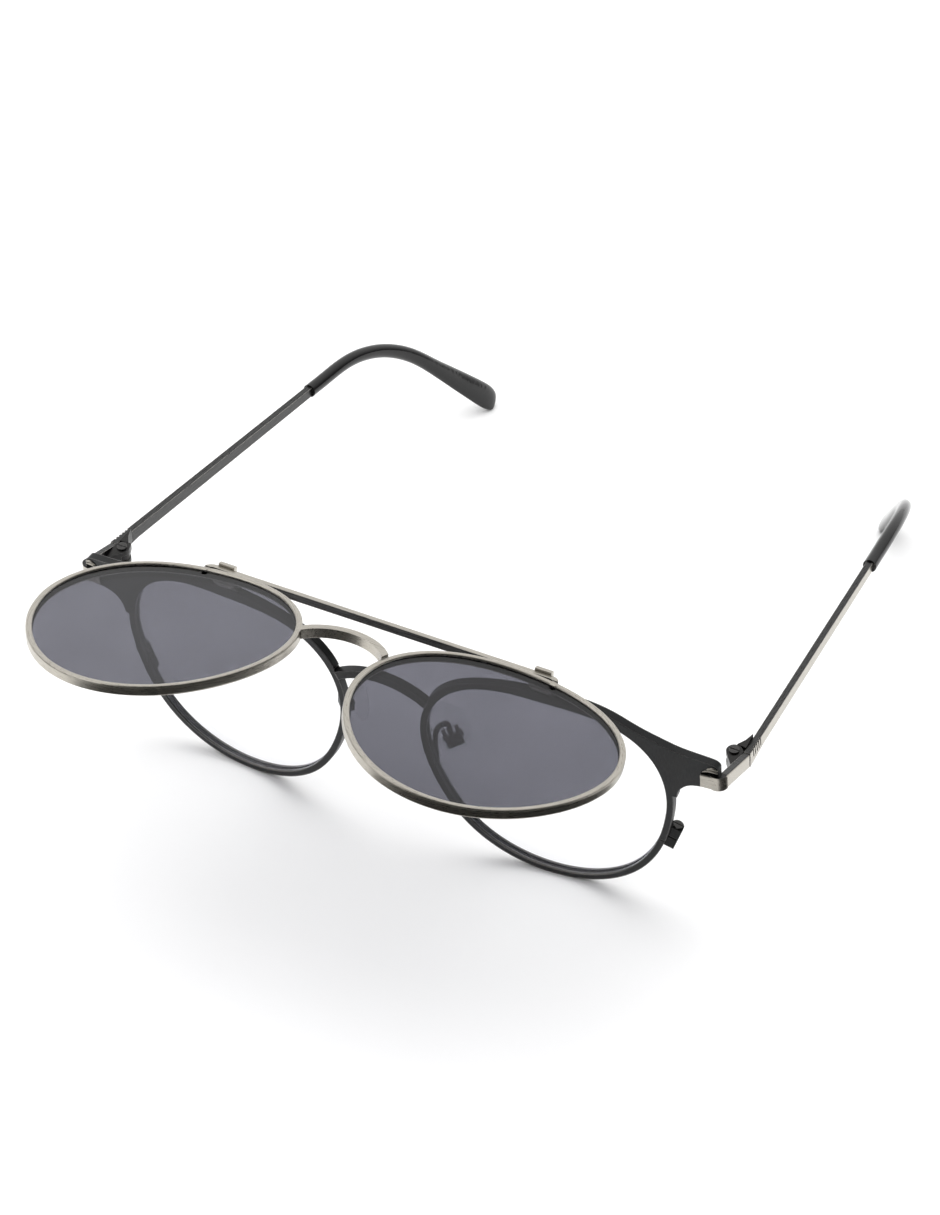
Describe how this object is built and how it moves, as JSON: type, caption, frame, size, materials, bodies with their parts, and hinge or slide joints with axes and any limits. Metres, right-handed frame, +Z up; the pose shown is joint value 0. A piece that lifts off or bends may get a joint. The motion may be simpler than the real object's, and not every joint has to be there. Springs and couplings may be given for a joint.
{
  "type": "flip-up sunglasses",
  "caption": "Round flip-up sunglasses with clear lenses, a hinged tinted clip raised over the front, and open folding temples.",
  "frame": {"origin": "on the surface the open glasses rest on, under the middle of the object's bounding box", "axes": "+X to the wearer's left, +Y back along the temples, +Z up; the front stands in the XZ plane, leaning 7 degrees"},
  "size_m": [0.1388, 0.1902, 0.0635],
  "materials": {
    "dark_metal": "satin",
    "silver_metal": "antique brushed",
    "hinge_metal": "satin",
    "screw_metal": "polished",
    "clear_glass": "clear, coated",
    "tinted_glass": "grey tint",
    "tip_acetate": "polished",
    "pad_silicone": "clear, soft"
  },
  "bodies": {
    "front": {"bridge": "dark_metal", "left_eyewire": "dark_metal", "right_eyewire": "dark_metal", "left_clear_lens": "clear_glass", "right_clear_lens": "clear_glass", "left_end_piece": "silver_metal", "right_end_piece": "silver_metal", "left_hinge_front": "hinge_metal", "right_hinge_front": "hinge_metal", "left_hinge_screw": "screw_metal", "right_hinge_screw": "screw_metal", "left_rim_lock_upper": "dark_metal", "right_rim_lock_upper": "dark_metal", "left_rim_lock_lower": "dark_metal", "right_rim_lock_lower": "dark_metal", "left_rim_lock_screw": "screw_metal", "right_rim_lock_screw": "screw_metal", "left_pad_arm": "dark_metal", "right_pad_arm": "dark_metal", "left_pad_box": "dark_metal", "right_pad_box": "dark_metal", "left_pad_screw": "screw_metal", "right_pad_screw": "screw_metal", "left_flip_bracket": "dark_metal", "right_flip_bracket": "dark_metal", "left_flip_pin": "screw_metal", "right_flip_pin": "screw_metal"},
    "clip": {"clip_bridge": "silver_metal", "clip_top_bar": "silver_metal", "left_clip_rim": "silver_metal", "right_clip_rim": "silver_metal", "left_clip_lens": "tinted_glass", "right_clip_lens": "tinted_glass", "left_flip_block": "silver_metal", "right_flip_block": "silver_metal"},
    "left_temple": {"left_temple_hinge": "hinge_metal", "left_temple_arm": "silver_metal", "left_temple_tip": "tip_acetate"},
    "left_pad": {"left_nose_pad": "pad_silicone"},
    "right_temple": {"right_temple_hinge": "hinge_metal", "right_temple_arm": "silver_metal", "right_temple_tip": "tip_acetate"},
    "right_pad": {"right_nose_pad": "pad_silicone"}
  },
  "joints": [
    {"name": "clip_flip", "type": "hinge", "parent": "front", "child": "clip", "pos_m": [0, -0.04428, 0.0508], "axis": [1, 0, 0], "range_deg": [0, 107]},
    {"name": "left_temple_fold", "type": "hinge", "parent": "front", "child": "left_temple", "pos_m": [-0.0663, -0.02885, 0.03511], "axis": [0, 0.1218, -0.9926], "range_deg": [0, 80]},
    {"name": "right_temple_fold", "type": "hinge", "parent": "front", "child": "right_temple", "pos_m": [0.0663, -0.02885, 0.03511], "axis": [0, -0.1218, 0.9926], "range_deg": [0, 86]},
    {"name": "left_pad_rock", "type": "hinge", "parent": "front", "child": "left_pad", "pos_m": [-0.01145, -0.03729, 0.02506], "axis": [0.7211, -0.615, -0.3192], "range_deg": [-10, 10]},
    {"name": "right_pad_rock", "type": "hinge", "parent": "front", "child": "right_pad", "pos_m": [0.01145, -0.03729, 0.02506], "axis": [0.7211, 0.615, 0.3192], "range_deg": [-10, 10]}
  ]
}
